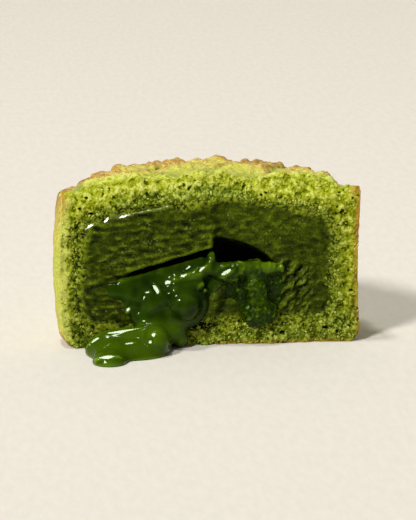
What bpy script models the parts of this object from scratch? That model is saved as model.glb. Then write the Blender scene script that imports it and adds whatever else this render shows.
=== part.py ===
"""Half of a matcha mooncake with a molten centre, cut straight down the middle.

A fluted, moulded crust holds a dense paste filling.  A pocket in the filling holds
molten matcha cream, which has run out of the cut and down to the surface below.

+X runs along the cut, +Y from the cut face to the round back, +Z is up.  The origin
is the middle of the flat base.  Lengths are in metres, angles in radians, and angles
around the cake are measured from +X about the mould's own axis, which lies in the cut.
"""
import math

import bmesh
import bpy
from mathutils import Vector, noise

MM = 0.001
GAP = 0.3 * MM

# The moulded cake, before it was cut.
RADIUS = 25.0 * MM
RIM_HEIGHT = 26.0 * MM
CROWN_HEIGHT = 28.7 * MM
LOBES = 14
GROOVE_DEPTH = 1.3 * MM
CREASE = 0.10
CREASE_POWER = 0.25
LOBE_SHIFT = 0.3
BELLY_LEFT = 0.9 * MM
BELLY_RIGHT = -0.45 * MM
BASE_EDGE = 2.4 * MM
RIM_EDGE = 0.6 * MM
RIM_DIP = 0.9 * MM
RIM_DIP_NEAR = (math.radians(2), math.radians(9))
RIM_DIP_FAR = (math.radians(35), math.radians(65))
CUT_Y = -RADIUS / 2

# The baked top: a flat rim, a moat inside it and a flower of ribs, fans and a boss.
RIM_INNER_RADIUS = 22.4 * MM
MOAT_RADIUS = 22.0 * MM
MOAT_HEIGHT = 25.3 * MM
FLOWER_RADIUS = 21.6 * MM
FLOWER_EDGE = 1.3 * MM
FLOWER_EDGE_HEIGHT = 27.1 * MM
MOTIFS = 7
MOTIF_TURN = math.radians(-6)
RIB_SHARE = 0.42
RIBS = 4
RIB_NOTCH = 0.9 * MM
RIB_DEPTH = 1.2 * MM
RIB_INNER_SHARE = 0.4
FAN_KNOBS = 3
FAN_NOTCH = 1.3 * MM
FAN_END_SHARE = 0.8
FAN_DEPTH = 0.9 * MM
FAN_CREST = 1.6 * MM
FAN_HOLLOW_SHARE = 0.75
INNER_FAN_RADIUS = 14.2 * MM
INNER_FAN_NOTCH = 1.0 * MM
INNER_FAN_DEPTH = 1.2 * MM
INNER_STEP = 1.4 * MM
BOSS_RADIUS = 6.2 * MM
BUTTON_RADIUS = 2.2 * MM
BOSS_HEIGHT = 0.9 * MM
BOSS_STEP = 0.7 * MM

# The crust's thickness and the space inside it.
WALL_LEFT = 3.0 * MM
WALL_RIGHT = 4.4 * MM
FLOOR_THICKNESS = 3.0 * MM
CAVITY_TOP = 24.2 * MM
CAVITY_SAG = 1.6 * MM
CAVITY_CORNER = 5.0 * MM

# The cut face: crumb on the crust, and a slab of paste that stands a little proud.
CRUMB_SIZE = 1.5 * MM
CRUMB_DEPTH = 0.45 * MM
TEAR_SIZE = 7.0 * MM
TEAR_DEPTH = 0.5 * MM
BROW_HEIGHT = 23.5 * MM
BROW_SETBACK = 2.4 * MM
PASTE_INSET = 0.5 * MM
PASTE_TEAR_DEPTH = 0.25 * MM
PASTE_TEAR_FLATNESS = 2
SLAB_PROUD = 1.0 * MM
SLAB_THICKNESS = 2.4 * MM
SLAB_RIGHT = 0.6 * MM
SLAB_EDGE_LOW = Vector((-17.5 * MM, 0, 11.2 * MM))
SLAB_EDGE_HIGH = Vector((0.6 * MM, 0, 16.4 * MM))
SLAB_STEP = 0.5 * MM

# The pocket in the paste, and the cream in it.
POCKET_CENTRE = Vector((-1.0 * MM, CUT_Y, 9.8 * MM))
POCKET_RADII = Vector((13.0 * MM, 8.6 * MM, 8.3 * MM))
CREAM_LEVEL = 12.0 * MM
CREAM_BACK_SET = 1.2 * MM

# Cream that shows: the middle and radii of each swelling, left to right, then downwards.
CREAM_SWELLINGS = (
    ((-14.5, -11.9, 9.4), (4.8, 1.3, 1.6)),
    ((-9.5, -12.0, 7.2), (4.6, 1.9, 4.2)),
    ((-4.4, -12.3, 7.0), (4.3, 2.6, 4.2)),
    ((-5.5, -11.8, 11.2), (4.5, 1.3, 1.5)),
    ((-1.2, -12.0, 12.6), (2.6, 1.2, 1.1)),
    ((0.3, -11.9, 14.2), (0.8, 0.8, 1.6)),
    ((5.5, -11.4, 12.4), (5.6, 1.2, 1.2)),
    ((2.6, -11.6, 8.6), (3.6, 1.5, 4.2)),
    ((7.8, -12.0, 9.5), (2.2, 1.4, 4.0)),
    ((8.3, -12.3, 5.2), (2.9, 1.4, 2.2)),
    ((10.6, -11.0, 9.0), (2.2, 1.0, 4.2)),
    ((-8.6, -13.0, 3.6), (4.0, 2.0, 2.7)),
    ((-13.6, -17.2, 0.0), (6.2, 4.6, 2.9)),
    ((-17.2, -16.8, 0.3), (3.6, 4.0, 2.2)),
    ((-15.2, -16.0, 2.0), (4.6, 1.6, 1.7)),
    ((-10.2, -15.4, 1.2), (3.6, 3.6, 3.0)),
    ((-9.4, -18.2, 2.5), (2.1, 2.3, 2.4)),
    ((-4.5, -14.2, 7.1), (2.6, 2.2, 2.6)),
)

# The run that hung from the foot of the cut, laid along the surface.
RUN_START = Vector((-16.2 * MM, -19.0 * MM, 0))
RUN_END = Vector((-17.4 * MM, -22.6 * MM, 0))
RUN_RADIUS = 2.8 * MM
RUN_HEIGHT = 2.2 * MM
RUN_BEADS = 5

# Mesh fineness.
COLUMNS = 20 * LOBES
BASE_STEPS = 4
WALL_STEPS = 5
RIM_STEPS = 3
FLOWER_ROWS = 24
DRUM_SHARE_KEPT = 0.42
CAVITY_COLUMNS = 48
CORNER_STEPS = 4
CAVITY_TOP_STEPS = 3
CUT_CELL = 1.0 * MM
CUT_MARGIN = 3.0 * MM
POCKET_TURNS = 32
SWELLING_TURNS = 16
CREAM_VOXEL = 0.45 * MM
CREAM_SMOOTHINGS = 8
CREAM_SMOOTHING_FACTOR = 0.5
CREAM_SHARE_KEPT = 0.13
SHARP_ANGLE = math.radians(40)

# Colours and roughness.
CRUST_FINISH = ((0.38, 0.36, 0.07), 0.75)
PASTE_FINISH = ((0.07, 0.10, 0.008), 0.5)
CREAM_FINISH = ((0.035, 0.085, 0.003), 0.15)


def clear_scene():
    """Remove whatever the scene holds."""
    for item in list(bpy.data.objects):
        bpy.data.objects.remove(item, do_unlink=True)


def blend(low, high, value):
    """Run smoothly from 0 at low to 1 at high, which may be the smaller number."""
    share = min(max((value - low) / (high - low), 0.0), 1.0)
    return share * share * (3 - 2 * share)


def crease_wave(phase):
    """Repeat broad humps of height 1 with a narrow crease of height 0 at whole numbers."""
    hump = math.sin(math.pi * phase) ** 2
    low = CREASE ** (2 * CREASE_POWER)
    high = (1 + CREASE ** 2) ** CREASE_POWER
    return ((hump + CREASE ** 2) ** CREASE_POWER - low) / (high - low)


def wall_radius(angle, height):
    """Distance of the fluted wall from the mould's axis, fuller on the left than the right."""
    fullness = (BELLY_LEFT + BELLY_RIGHT - (BELLY_LEFT - BELLY_RIGHT) * math.cos(angle)) / 2
    swell = fullness * math.sin(math.pi * min(height / RIM_HEIGHT, 1.0))
    phase = angle * LOBES / math.tau + LOBE_SHIFT * (1 + math.cos(angle)) / 2
    groove = GROOVE_DEPTH * (1 - crease_wave(phase))
    return RADIUS + swell - groove


def rim_height(angle):
    """Height of the rim, which dips behind the two corners of the cut."""
    from_cut = math.acos(min(abs(math.cos(angle)), 1.0))
    near, far = RIM_DIP_NEAR, RIM_DIP_FAR
    return RIM_HEIGHT - RIM_DIP * blend(*near, from_cut) * (1 - blend(*far, from_cut))


def fan_relief(radius, across, outline, depth):
    """Depth below the crown of a scalloped petal, highest just inside its outline."""
    ridge = math.exp(-((radius - outline + FAN_CREST) / FAN_CREST) ** 2)
    side = 1 - crease_wave(across)
    return depth * (FAN_HOLLOW_SHARE * (1 - ridge) + side)


def scallop(across, notch):
    """Distance that a petal's outline draws in between its knobs and at its ends."""
    ends = FAN_END_SHARE * abs(2 * across - 1) ** 3
    return notch * (1 - crease_wave(across * FAN_KNOBS) + ends)


def outer_ring(radius, motif):
    """Radius of the outline and depth of the ring of ribs and fans, motif from 0 to 1."""
    if motif < RIB_SHARE:
        groove = 1 - crease_wave(motif / RIB_SHARE * RIBS)
        length = (radius - INNER_FAN_RADIUS) / (FLOWER_RADIUS - INNER_FAN_RADIUS)
        share = RIB_INNER_SHARE + (1 - RIB_INNER_SHARE) * length
        return FLOWER_RADIUS - RIB_NOTCH * groove, RIB_DEPTH * groove * share
    across = (motif - RIB_SHARE) / (1 - RIB_SHARE)
    outline = FLOWER_RADIUS - scallop(across, FAN_NOTCH)
    return outline, fan_relief(radius, across, outline, FAN_DEPTH)


def boss_relief(radius, across):
    """Height of the button and its ring of small petals in the middle of the flower."""
    petals = blend(BOSS_RADIUS, BOSS_RADIUS - 2 * BOSS_STEP, radius) * crease_wave(across)
    petals *= blend(BUTTON_RADIUS, BUTTON_RADIUS + 2 * BOSS_STEP, radius)
    button = blend(BUTTON_RADIUS + BOSS_STEP, BUTTON_RADIUS - BOSS_STEP, radius)
    return BOSS_HEIGHT * max(petals, button)


def inner_ring(radius, across):
    """Radius of the outline and depth of the small petals behind the ribs, and the boss."""
    outline = INNER_FAN_RADIUS - scallop(across, INNER_FAN_NOTCH)
    petals = fan_relief(radius, across, outline, INNER_FAN_DEPTH)
    boss = INNER_FAN_DEPTH - boss_relief(radius, across)
    share = blend(BOSS_RADIUS - BOSS_STEP, BOSS_RADIUS + BOSS_STEP, radius)
    return outline, boss + (petals - boss) * share


def flower_height(radius, angle):
    """Height over the base of the top inside the moat."""
    motif = ((angle - MOTIF_TURN) * MOTIFS / math.tau) % 1.0
    crown = CROWN_HEIGHT - (CROWN_HEIGHT - FLOWER_EDGE_HEIGHT) * (radius / FLOWER_RADIUS) ** 2
    outline, outer_depth = outer_ring(radius, motif)
    inner_outline, inner_depth = inner_ring(radius, (motif - RIB_SHARE / 2 + 0.5) % 1.0)
    outside = blend(inner_outline, inner_outline + INNER_STEP, radius)
    raised = crown - inner_depth - (outer_depth - inner_depth) * outside
    fall = blend(outline - FLOWER_EDGE, outline, radius)
    return raised + (MOAT_HEIGHT - raised) * fall


def quarter(steps):
    """Yield the sines and cosines of a quarter turn, ends included."""
    for step in range(steps + 1):
        turn = math.pi / 2 * step / steps
        yield math.sin(turn), math.cos(turn)


def outer_rows(angle):
    """List (radius, height) from the base to the crown, at one angle around the cake."""
    rows = []
    for sine, cosine in quarter(BASE_STEPS):
        height = BASE_EDGE * (1 - cosine)
        rows.append((wall_radius(angle, height) - BASE_EDGE * (1 - sine), height))
    rim = rim_height(angle)
    wall_top = rim - RIM_EDGE
    for step in range(1, WALL_STEPS):
        height = BASE_EDGE + (wall_top - BASE_EDGE) * step / WALL_STEPS
        rows.append((wall_radius(angle, height), height))
    for sine, cosine in quarter(RIM_STEPS):
        height = wall_top + RIM_EDGE * sine
        rows.append((wall_radius(angle, height) - RIM_EDGE * (1 - cosine), height))
    rows.append((RIM_INNER_RADIUS, rim))
    rows.append((MOAT_RADIUS, MOAT_HEIGHT))
    for step in range(FLOWER_ROWS):
        radius = FLOWER_RADIUS * (1 - step / FLOWER_ROWS)
        rows.append((radius, flower_height(radius, angle)))
    return rows


def cavity_radius(angle):
    """Radius of the space inside the crust, nearer the wall on the left than the right."""
    thickness = (WALL_LEFT + WALL_RIGHT) / 2 + (WALL_RIGHT - WALL_LEFT) / 2 * math.cos(angle)
    return RADIUS - thickness


def cavity_rows(angle, inset):
    """List (radius, height) up the space inside the crust, drawn in by inset."""
    radius = cavity_radius(angle) - inset
    low = FLOOR_THICKNESS + inset
    high = CAVITY_TOP - CAVITY_SAG - inset
    corner = CAVITY_CORNER - inset
    rows = []
    for sine, cosine in quarter(CORNER_STEPS):
        rows.append((radius - corner * (1 - sine), low + corner * (1 - cosine)))
    for sine, cosine in quarter(CORNER_STEPS):
        rows.append((radius - corner * (1 - cosine), high - corner * (1 - sine)))
    edge = radius - corner
    for step in range(1, CAVITY_TOP_STEPS):
        share = 1 - step / CAVITY_TOP_STEPS
        rows.append((edge * share, high + CAVITY_SAG * (1 - share ** 2)))
    return rows


def turned_solid(name, rows_at, columns, bottom, top):
    """Close a solid of rings about the mould's axis, between heights bottom and top."""
    shape = bmesh.new()
    rings = []
    for column in range(columns):
        angle = math.tau * column / columns
        ring = []
        for radius, height in rows_at(angle):
            place = (radius * math.cos(angle), CUT_Y + radius * math.sin(angle), height)
            ring.append(shape.verts.new(place))
        rings.append(ring)
    low_pole = shape.verts.new((0, CUT_Y, bottom))
    high_pole = shape.verts.new((0, CUT_Y, top))
    for ring, following in zip(rings, rings[1:] + rings[:1]):
        shape.faces.new((low_pole, following[0], ring[0]))
        shape.faces.new((high_pole, ring[-1], following[-1]))
        for row in range(len(ring) - 1):
            corners = (ring[row], following[row], following[row + 1], ring[row + 1])
            shape.faces.new(corners)
    return finish_mesh(name, shape)


def finish_mesh(name, shape):
    """Turn a bmesh into an object with outward faces, in triangles."""
    bmesh.ops.recalc_face_normals(shape, faces=shape.faces)
    bmesh.ops.triangulate(shape, faces=shape.faces)
    mesh = bpy.data.meshes.new(name)
    shape.to_mesh(mesh)
    shape.free()
    item = bpy.data.objects.new(name, mesh)
    bpy.context.collection.objects.link(item)
    return item


def crumb(x, z):
    """Unevenness of a torn surface at a place on the cut."""
    fine = noise.noise(Vector((x, 0.0, z)) / CRUMB_SIZE)
    broad = noise.noise(Vector((x, TEAR_SIZE, z)) / TEAR_SIZE)
    return CRUMB_DEPTH * fine + TEAR_DEPTH * broad


def crust_face(x, z):
    """Distance along Y of the crust's cut face, which leans back at the crown."""
    return CUT_Y + crumb(x, z) + BROW_SETBACK * blend(BROW_HEIGHT, CROWN_HEIGHT, z)


def above_slab_edge(x, z):
    """Height of a place over the sloping lower edge of the slab."""
    run = SLAB_EDGE_HIGH - SLAB_EDGE_LOW
    return z - SLAB_EDGE_LOW.z - (x - SLAB_EDGE_LOW.x) * run.z / run.x


def paste_face(x, z):
    """Distance along Y of the filling's cut face."""
    over_edge = blend(-SLAB_STEP, SLAB_STEP, above_slab_edge(x, z))
    left_of_step = 1 - blend(SLAB_RIGHT - SLAB_STEP, SLAB_RIGHT + SLAB_STEP, x)
    place = Vector((x, 0.0, PASTE_TEAR_FLATNESS * z))
    ragged = PASTE_TEAR_DEPTH * noise.noise(place / CRUMB_SIZE)
    return CUT_Y + PASTE_INSET - SLAB_PROUD * over_edge * left_of_step + ragged


def cutting_block(name, surface):
    """Build a block that fills everything in front of a surface y = surface(x, z)."""
    shape = bmesh.new()
    half_width = RADIUS + CUT_MARGIN
    low, high = -CUT_MARGIN, CROWN_HEIGHT + CUT_MARGIN
    across = round(2 * half_width / CUT_CELL)
    up = round((high - low) / CUT_CELL)
    front_y = CUT_Y - RADIUS - CUT_MARGIN
    near, far = [], []
    for row in range(up + 1):
        z = low + (high - low) * row / up
        for column in range(across + 1):
            x = -half_width + 2 * half_width * column / across
            near.append(shape.verts.new((x, front_y, z)))
            far.append(shape.verts.new((x, surface(x, z), z)))
    width = across + 1
    for row in range(up):
        for column in range(across):
            start = row * width + column
            square = (start, start + 1, start + width + 1, start + width)
            shape.faces.new([near[corner] for corner in square])
            shape.faces.new([far[corner] for corner in reversed(square)])
    bottom = list(range(width))
    right = list(range(width - 1, len(near), width))
    top = list(reversed(range(len(near) - width, len(near))))
    left = list(reversed(range(0, len(near), width)))
    border = bottom + right[1:] + top[1:] + left[1:]
    for start, end in zip(border, border[1:]):
        shape.faces.new((near[end], near[start], far[start], far[end]))
    return finish_mesh(name, shape)


def ellipsoid(name, centre, radii, turns):
    """Build an ellipsoid."""
    shape = bmesh.new()
    bmesh.ops.create_uvsphere(shape, u_segments=turns, v_segments=turns // 2, radius=1.0)
    for vertex in shape.verts:
        vertex.co = Vector(centre) + Vector([a * b for a, b in zip(vertex.co, radii)])
    return finish_mesh(name, shape)


def box(name, low, high):
    """Build a box between two corners."""
    shape = bmesh.new()
    bmesh.ops.create_cube(shape, size=1.0)
    low, high = Vector(low), Vector(high)
    for vertex in shape.verts:
        stretched = Vector([a * b for a, b in zip(vertex.co, high - low)])
        vertex.co = (low + high) / 2 + stretched
    return finish_mesh(name, shape)


def apply_modifiers(item):
    """Replace an object's mesh by what its modifiers make of it."""
    graph = bpy.context.evaluated_depsgraph_get()
    item.data = bpy.data.meshes.new_from_object(item.evaluated_get(graph))
    item.modifiers.clear()


def combine(item, other, operation):
    """Cut or join an object with another one, which is used up."""
    boolean = item.modifiers.new(operation.lower(), "BOOLEAN")
    boolean.operation = operation
    boolean.object = other
    apply_modifiers(item)
    bpy.data.objects.remove(other, do_unlink=True)


def slab_block():
    """Build the block of paste that hangs in front of the left half of the pocket."""
    slab = box(
        "slab_block",
        (-RADIUS, CUT_Y - RADIUS, -RADIUS),
        (SLAB_RIGHT, CUT_Y + SLAB_THICKNESS, 2 * RADIUS),
    )
    for vertex in slab.data.vertices:
        if vertex.co.z < 0:
            vertex.co.z -= above_slab_edge(vertex.co.x, vertex.co.z)
    return slab


def pocket(name, inset):
    """Build the space that the molten cream left room in, drawn in by inset."""
    radii = [radius - inset for radius in POCKET_RADII]
    return ellipsoid(name, POCKET_CENTRE, radii, POCKET_TURNS)


def make_cream():
    """Build the pool in the pocket, with all that has run out of it, as one smooth body."""
    cream = pocket("lava", GAP)
    above = box(
        "above_level",
        (-RADIUS, -2 * RADIUS, CREAM_LEVEL),
        (RADIUS, RADIUS, CROWN_HEIGHT),
    )
    combine(cream, above, "DIFFERENCE")
    before = box(
        "before_cut",
        (-RADIUS, -2 * RADIUS, -RADIUS),
        (RADIUS, CUT_Y + CREAM_BACK_SET, CROWN_HEIGHT),
    )
    combine(cream, before, "DIFFERENCE")
    for centre, radii in CREAM_SWELLINGS:
        swelling = ellipsoid(
            "swelling",
            [value * MM for value in centre],
            [value * MM for value in radii],
            SWELLING_TURNS,
        )
        combine(cream, swelling, "UNION")
    for bead in range(RUN_BEADS):
        place = RUN_START.lerp(RUN_END, bead / (RUN_BEADS - 1))
        radii = (RUN_RADIUS, RUN_RADIUS, RUN_HEIGHT)
        combine(cream, ellipsoid("bead", place, radii, SWELLING_TURNS), "UNION")
    remesh = cream.modifiers.new("blend", "REMESH")
    remesh.mode = "VOXEL"
    remesh.voxel_size = CREAM_VOXEL
    smooth = cream.modifiers.new("smooth", "SMOOTH")
    smooth.factor = CREAM_SMOOTHING_FACTOR
    smooth.iterations = CREAM_SMOOTHINGS
    decimate = cream.modifiers.new("fewer", "DECIMATE")
    decimate.ratio = CREAM_SHARE_KEPT
    apply_modifiers(cream)
    below = box(
        "below_surface",
        (-2 * RADIUS, -2 * RADIUS, -RADIUS),
        (2 * RADIUS, 2 * RADIUS, 0),
    )
    combine(cream, below, "DIFFERENCE")
    return cream


def swollen_copy(item, by):
    """Copy an object with its surface moved outwards."""
    copy = bpy.data.objects.new(item.name + "_room", item.data.copy())
    bpy.context.collection.objects.link(copy)
    displace = copy.modifiers.new("swell", "DISPLACE")
    displace.strength = by
    displace.mid_level = 0.0
    apply_modifiers(copy)
    return copy


def make_crust(cream):
    """Build the moulded crust: the drum, less its inside and what lies before the cut."""
    crust = turned_solid("crust", outer_rows, COLUMNS, 0.0, flower_height(0.0, 0.0))
    decimate = crust.modifiers.new("fewer", "DECIMATE")
    decimate.ratio = DRUM_SHARE_KEPT
    apply_modifiers(crust)
    inside = turned_solid(
        "inside",
        lambda angle: cavity_rows(angle, 0.0),
        CAVITY_COLUMNS,
        FLOOR_THICKNESS,
        CAVITY_TOP,
    )
    combine(crust, cutting_block("before_cut", crust_face), "DIFFERENCE")
    combine(crust, inside, "DIFFERENCE")
    combine(crust, swollen_copy(cream, GAP), "DIFFERENCE")
    return crust


def make_filling(cream):
    """Build the paste: what fills the crust, less the pocket and the cream's own room."""
    filling = turned_solid(
        "filling",
        lambda angle: cavity_rows(angle, GAP),
        CAVITY_COLUMNS,
        FLOOR_THICKNESS + GAP,
        CAVITY_TOP - GAP,
    )
    combine(filling, cutting_block("before_paste", paste_face), "DIFFERENCE")
    hollow = pocket("hollow", 0.0)
    combine(hollow, slab_block(), "DIFFERENCE")
    combine(filling, hollow, "DIFFERENCE")
    combine(filling, swollen_copy(cream, GAP), "DIFFERENCE")
    return filling


def colour(item, name, finish):
    """Give an object its own material, of a colour and a roughness, and smooth shading."""
    rgb, roughness = finish
    material = bpy.data.materials.new(name)
    material.use_nodes = True
    surface = material.node_tree.nodes["Principled BSDF"]
    surface.inputs["Base Color"].default_value = (*rgb, 1.0)
    surface.inputs["Roughness"].default_value = roughness
    surface.inputs["Metallic"].default_value = 0.0
    item.data.materials.clear()
    item.data.materials.append(material)
    item.data.shade_smooth()
    item.data.set_sharp_from_angle(angle=SHARP_ANGLE)


def main():
    """Build the three parts of the half mooncake."""
    clear_scene()
    cream = make_cream()
    crust = make_crust(cream)
    filling = make_filling(cream)
    colour(crust, "baked_crust", CRUST_FINISH)
    colour(filling, "matcha_paste", PASTE_FINISH)
    colour(cream, "molten_cream", CREAM_FINISH)


main()
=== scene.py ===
"""The finish of the half matcha mooncake: crust, paste filling and molten cream.

Each of the three solids of the frame is replaced by a finer mesh of the same form.
Lengths are in millimetres until a piece is dressed. Lights, camera and floor are in
metres. Angles around the cake are measured from +X about the mould's axis, which
stands in the cut.
"""
import math

import bmesh
import bpy
import numpy as np
from mathutils import Euler, Matrix, Vector, noise


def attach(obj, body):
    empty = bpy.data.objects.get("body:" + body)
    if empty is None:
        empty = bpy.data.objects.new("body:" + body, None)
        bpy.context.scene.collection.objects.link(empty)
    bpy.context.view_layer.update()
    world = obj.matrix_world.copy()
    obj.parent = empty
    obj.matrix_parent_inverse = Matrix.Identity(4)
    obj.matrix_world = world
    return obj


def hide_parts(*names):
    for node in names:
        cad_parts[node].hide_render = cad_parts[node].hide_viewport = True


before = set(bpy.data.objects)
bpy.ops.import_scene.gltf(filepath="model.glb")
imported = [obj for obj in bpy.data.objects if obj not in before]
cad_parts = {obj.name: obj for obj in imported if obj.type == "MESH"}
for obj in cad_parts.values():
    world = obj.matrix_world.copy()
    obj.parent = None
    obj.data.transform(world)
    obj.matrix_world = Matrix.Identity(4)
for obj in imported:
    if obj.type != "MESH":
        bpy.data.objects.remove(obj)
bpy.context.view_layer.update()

MM = 0.001

# The moulded cake, as in the solids.
RADIUS = 25.0
RIM_HEIGHT = 26.0
CROWN_HEIGHT = 28.7
LOBES = 14
GROOVE_DEPTH = 1.3
CREASE = 0.10
BELLY = 0.9
BASE_EDGE = 2.4
RIM_EDGE = 0.6
RIM_DIP = 0.9
LOBE_SHIFT = 0.3
FLUTE_ROUNDING = 0.35
CUT_Y = -RADIUS / 2
RIM_INNER_RADIUS = 22.4
MOAT_RADIUS = 22.0
MOAT_HEIGHT = 25.3
FLOWER_RADIUS = 21.6
FLOWER_EDGE = 1.3
FLOWER_EDGE_HEIGHT = 27.1
MOTIFS = 7
MOTIF_TURN = math.radians(-6)
RIB_SHARE = 0.42
RIBS = 4
RIB_NOTCH = 0.9
RIB_DEPTH = 1.2
FAN_KNOBS = 3
FAN_NOTCH = 1.3
FAN_DEPTH = 0.9
FAN_CREST = 1.6
INNER_FAN_RADIUS = 14.2
INNER_FAN_NOTCH = 1.0
INNER_FAN_DEPTH = 1.2
INNER_STEP = 1.4
BOSS_RADIUS = 6.2
BUTTON_RADIUS = 2.2
BOSS_HEIGHT = 0.9
BOSS_STEP = 0.7

# The space inside the crust.
WALL_LEFT = 3.0
WALL_RIGHT = 4.4
FLOOR_THICKNESS = 3.0
CAVITY_TOP = 24.2
CAVITY_SAG = 1.6
CAVITY_CORNER = 5.0
CAVITY_ROUGHNESS = 0.15

# The baked skin: how high its grain and its torn places are.
SKIN_SWELLING = 0.10
SKIN_SAND = 0.055
SKIN_PIT = 0.10
TOP_LUMPS = 0.28
TORN_RELIEF = 0.33

# The cut face.
CRUMB_SIZE = 1.5
CRUMB_DEPTH = 0.45
CRUMB_RELIEF = 0.22
CRUMB_GRAINS = (0.54, 0.32)
TEAR_SIZE = 7.0
TEAR_DEPTH = 0.5
BROW_HEIGHT = 23.5
BROW_SETBACK = 2.4
PASTE_INSET = 0.5
SLAB_PROUD = 1.0
SLAB_THICKNESS = 2.4
SLAB_RIGHT = 0.6
SLAB_STEP = 0.5
SLAB_EDGE_LOW = (-17.5, 11.2)  # x and z
SLAB_EDGE_HIGH = (0.6, 16.4)
SLAB_TOP = ((-20.5, 20.4, 0.40), (-16.5, 22.0, 0.15))  # x, z and slope of its two parts
SLAB_FALL = 0.75
SLAB_RIDGE = 0.35
HOLLOW_CENTRE = (5.0, 12.0)
DRAG_RELIEF = 0.08
STREAK_DEPTH = 0.12
FLAP_RELIEF = 0.55
BIG_PORES = (  # x, z and radius
    (-21.6, 20.5, 0.50), (-19.6, 22.4, 0.35), (21.7, 22.0, 0.50),
    (5.6, 26.0, 0.45), (12.0, 1.7, 0.30), (19.0, 2.4, 0.35),
)

# The paste low in the hollow, and smeared over the left end of the cream. A ball has a
# centre and radii, and a strand has points, each with its radius.
PASTE_LUMP = ((2.9, -10.9, 5.2), (3.2, 1.6, 2.8))
PASTE_STRAND = ((2.2, -12.0, 9.8, 0.6), (0.6, -12.4, 7.6, 1.0), (-0.4, -12.4, 5.0, 1.2))
PASTE_SMEARS = (
    ((-15.2, -11.9, 5.6), (5.6, 1.3, 4.2)),
    ((-18.6, -11.9, 9.0), (3.0, 1.3, 2.2)),
)

# The pocket in the paste, and the cream in it.
POCKET_CENTRE = (-1.0, CUT_Y, 9.8)
POCKET_RADII = (13.0, 8.6, 8.3)
CREAM_LEVEL = 12.0
CREAM_BACK_SET = 1.2
CREAM_SPACE = ((-23.6, 14.6), (-27.0, -3.2), (-0.6, 16.6))
CREAM_SWELLINGS = (
    ((-14.5, -11.9, 9.4), (4.8, 1.3, 1.6)),
    ((-9.5, -12.0, 7.2), (4.6, 1.9, 4.2)),
    ((-4.4, -12.3, 7.0), (4.3, 2.6, 4.2)),
    ((-5.5, -11.8, 11.2), (4.5, 1.3, 1.5)),
    ((-1.2, -12.0, 12.6), (2.6, 1.2, 1.1)),
    ((0.3, -11.9, 14.2), (0.8, 0.8, 1.6)),
    ((5.5, -11.4, 12.4), (5.6, 1.2, 1.2)),
    ((2.6, -11.6, 8.6), (3.6, 1.5, 4.2)),
    ((7.8, -12.0, 9.5), (2.2, 1.4, 4.0)),
    ((8.3, -12.3, 5.2), (2.9, 1.4, 2.2)),
    ((10.6, -11.0, 9.0), (2.2, 1.0, 4.2)),
    ((-8.6, -13.0, 3.6), (4.0, 2.0, 2.7)),
    ((-13.6, -17.2, 0.0), (6.2, 4.6, 2.9)),
    ((-17.2, -16.8, 0.3), (3.6, 4.0, 2.2)),
    ((-15.2, -16.0, 2.0), (4.6, 1.6, 1.7)),
    ((-10.2, -15.4, 1.2), (3.6, 3.6, 3.0)),
    ((-9.4, -18.2, 2.5), (2.1, 2.3, 2.4)),
    ((-4.5, -14.2, 7.1), (2.6, 2.2, 2.6)),
    ((-9.0, -13.0, 8.0), (2.6, 1.6, 2.4)),
    ((3.0, -13.0, 12.1), (2.4, 1.2, 1.5)),
    ((8.0, -12.9, 5.2), (2.8, 1.4, 2.3)),
)
CREAM_PIT = ((3.0, -13.6, 6.6), (2.7, 1.9, 4.0))
THIN_FOLDS = (
    ((-8.4, -12.6, 9.7, 0.6), (-5.6, -13.0, 11.1, 0.7), (-2.0, -13.0, 12.2, 0.7),
     (-0.4, -12.8, 12.9, 0.6), (0.2, -12.6, 14.4, 0.3)),
    ((0.8, -12.7, 12.7, 0.8), (5.0, -12.8, 13.0, 0.85), (9.6, -12.6, 12.9, 0.8),
     (11.6, -12.2, 12.6, 0.5)),
    ((7.2, -12.2, 12.6, 1.2), (7.6, -12.2, 9.8, 1.5), (7.8, -12.4, 7.2, 1.7)),
)
THICK_FOLDS = (
    ((-13.0, -12.4, 8.8, 0.9), (-13.2, -12.7, 6.4, 0.9), (-11.4, -13.2, 4.6, 1.2)),
    ((-19.4, -16.9, 0.9, 1.0), (-17.5, -16.0, 2.0, 1.3), (-14.4, -16.0, 2.65, 1.3),
     (-11.7, -16.4, 3.0, 1.3)),
    ((-19.4, -11.1, 9.4, 0.35), (-16.0, -12.0, 9.2, 0.8), (-12.0, -12.8, 8.4, 1.2)),
    ((-6.8, -13.2, 4.8, 1.9), (-6.0, -13.4, 3.0, 1.9), (-5.2, -13.6, 1.6, 1.5)),
    ((-14.5, -12.2, 10.8, 0.5), (-8.0, -11.7, 12.2, 0.7), (-1.5, -11.5, 14.0, 0.7)),
    ((-9.0, -13.2, 4.8, 1.9), (-9.8, -14.4, 2.6, 2.0), (-11.6, -15.6, 1.5, 1.9)),
    ((-19.6, -15.4, 0.6, 1.0), (-17.0, -14.6, 1.4, 1.1), (-13.8, -14.2, 1.9, 1.1)),
    ((-1.6, -13.4, 10.4, 0.6), (-6.0, -13.9, 9.4, 0.8), (-9.8, -13.8, 7.0, 0.9),
     (-10.8, -13.9, 4.6, 1.0)),
)
CREAM_RUN = ((-16.2, -19.0, 0, 2.8), (-17.4, -22.6, 0, 2.8))
RUN_FLATNESS = 2.8 / 2.2
CREAM_ROUNDING = 0.8
FOLD_ROUNDING = 1.0
RUN_ROUNDING = 1.5
CREAM_SWELL = 0.07
CREAM_LUMPS = 0.18
CREAM_FROTH = 0.10

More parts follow.
